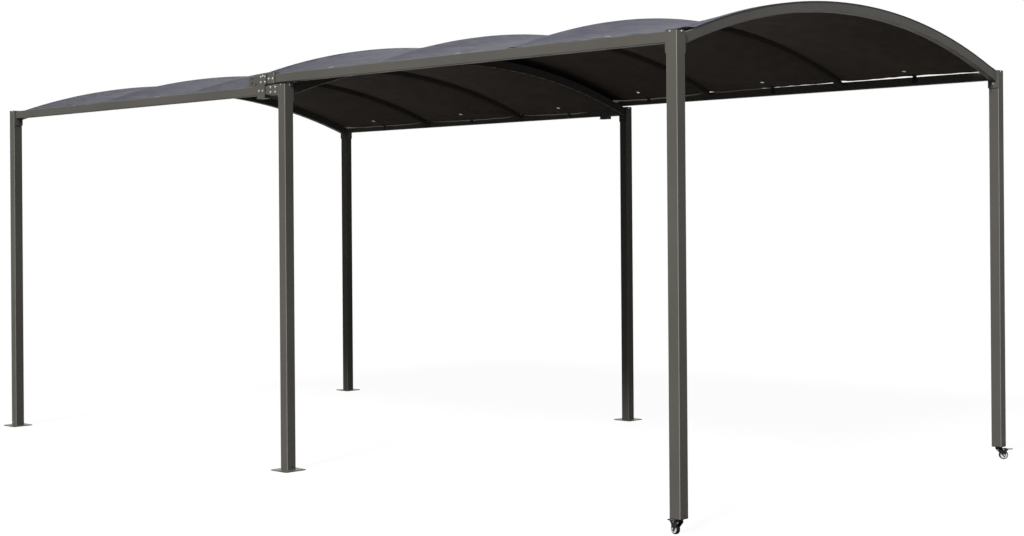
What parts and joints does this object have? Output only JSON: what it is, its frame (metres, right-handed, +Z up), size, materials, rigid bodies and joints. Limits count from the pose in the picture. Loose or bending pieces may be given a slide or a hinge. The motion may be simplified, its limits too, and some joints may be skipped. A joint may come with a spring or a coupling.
{
  "type": "telescopic carport",
  "caption": "Telescopic carport: fabric roof on bowed arches and square posts, with a wheeled front section that slides back over the fixed rear section.",
  "frame": {"origin": "on the floor, under the middle of the carport's outline with the roof drawn out", "axes": "+X across the carport to its right-hand side, +Y along it from the wheeled entrance to the fixed rear, +Z up"},
  "size_m": [3.08, 5.8305, 2.4621],
  "materials": {
    "powder_coated_frame": "satin powder coat",
    "roof_fabric": "coated weave",
    "black_plastic": "moulded",
    "slide_nylon": "moulded nylon",
    "wheel_hub": "moulded",
    "rubber": "matte",
    "dark_metal": "satin black"
  },
  "bodies": {
    "fixed_frame": {"rear_left_post": "powder_coated_frame", "rear_left_base": "powder_coated_frame", "rear_right_post": "powder_coated_frame", "rear_right_base": "powder_coated_frame", "middle_left_post": "powder_coated_frame", "middle_left_base": "powder_coated_frame", "middle_right_post": "powder_coated_frame", "middle_right_base": "powder_coated_frame", "fixed_post_caps": "black_plastic", "fixed_left_rail": "powder_coated_frame", "fixed_right_rail": "powder_coated_frame", "left_rail_sleeve": "powder_coated_frame", "right_rail_sleeve": "powder_coated_frame", "rear_arch": "powder_coated_frame", "fixed_rear_rib": "powder_coated_frame", "fixed_front_rib": "powder_coated_frame", "middle_arch": "powder_coated_frame", "fixed_canopy": "roof_fabric"},
    "sliding_section": {"front_left_post": "powder_coated_frame", "front_right_post": "powder_coated_frame", "sliding_post_caps": "black_plastic", "sliding_left_rail": "powder_coated_frame", "sliding_right_rail": "powder_coated_frame", "left_rail_bracket": "powder_coated_frame", "right_rail_bracket": "powder_coated_frame", "left_carriage": "powder_coated_frame", "right_carriage": "powder_coated_frame", "left_carriage_rollers": "slide_nylon", "right_carriage_rollers": "slide_nylon", "tail_rib": "powder_coated_frame", "sliding_rear_rib": "powder_coated_frame", "sliding_front_rib": "powder_coated_frame", "front_arch": "powder_coated_frame", "sliding_canopy": "roof_fabric", "left_caster_socket": "black_plastic", "right_caster_socket": "black_plastic"},
    "left_caster": {"left_caster_fork": "dark_metal"},
    "left_wheel": {"left_wheel_hub": "wheel_hub", "left_wheel_tyre": "rubber"},
    "left_brake": {"left_brake_pedal": "black_plastic"},
    "right_caster": {"right_caster_fork": "dark_metal"},
    "right_wheel": {"right_wheel_hub": "wheel_hub", "right_wheel_tyre": "rubber"},
    "right_brake": {"right_brake_pedal": "black_plastic"}
  },
  "joints": [
    {"name": "roof_slide", "type": "slide", "parent": "fixed_frame", "child": "sliding_section", "axis": [0, 1, 0], "range_m": [0, 2.55]},
    {"name": "left_caster_swivel", "type": "hinge", "parent": "sliding_section", "child": "left_caster", "pos_m": [-1.47, -2.85475, 0.0613], "axis": [0, 0, 1], "continuous": true},
    {"name": "left_wheel_spin", "type": "hinge", "parent": "left_caster", "child": "left_wheel", "pos_m": [-1.46283, -2.82976, 0.025], "axis": [-0.9613, 0.2756, 0], "continuous": true},
    {"name": "left_brake_press", "type": "hinge", "parent": "left_caster", "child": "left_brake", "pos_m": [-1.45787, -2.81246, 0.0558], "axis": [-0.9613, 0.2756, 0], "range_deg": [0, 15]},
    {"name": "right_caster_swivel", "type": "hinge", "parent": "sliding_section", "child": "right_caster", "pos_m": [1.47, -2.85475, 0.0613], "axis": [0, 0, 1], "continuous": true},
    {"name": "right_wheel_spin", "type": "hinge", "parent": "right_caster", "child": "right_wheel", "pos_m": [1.48806, -2.87346, 0.025], "axis": [0.7193, 0.6947, 0], "continuous": true},
    {"name": "right_brake_press", "type": "hinge", "parent": "right_caster", "child": "right_brake", "pos_m": [1.50056, -2.8864, 0.0558], "axis": [0.7193, 0.6947, 0], "range_deg": [0, 15]}
  ]
}
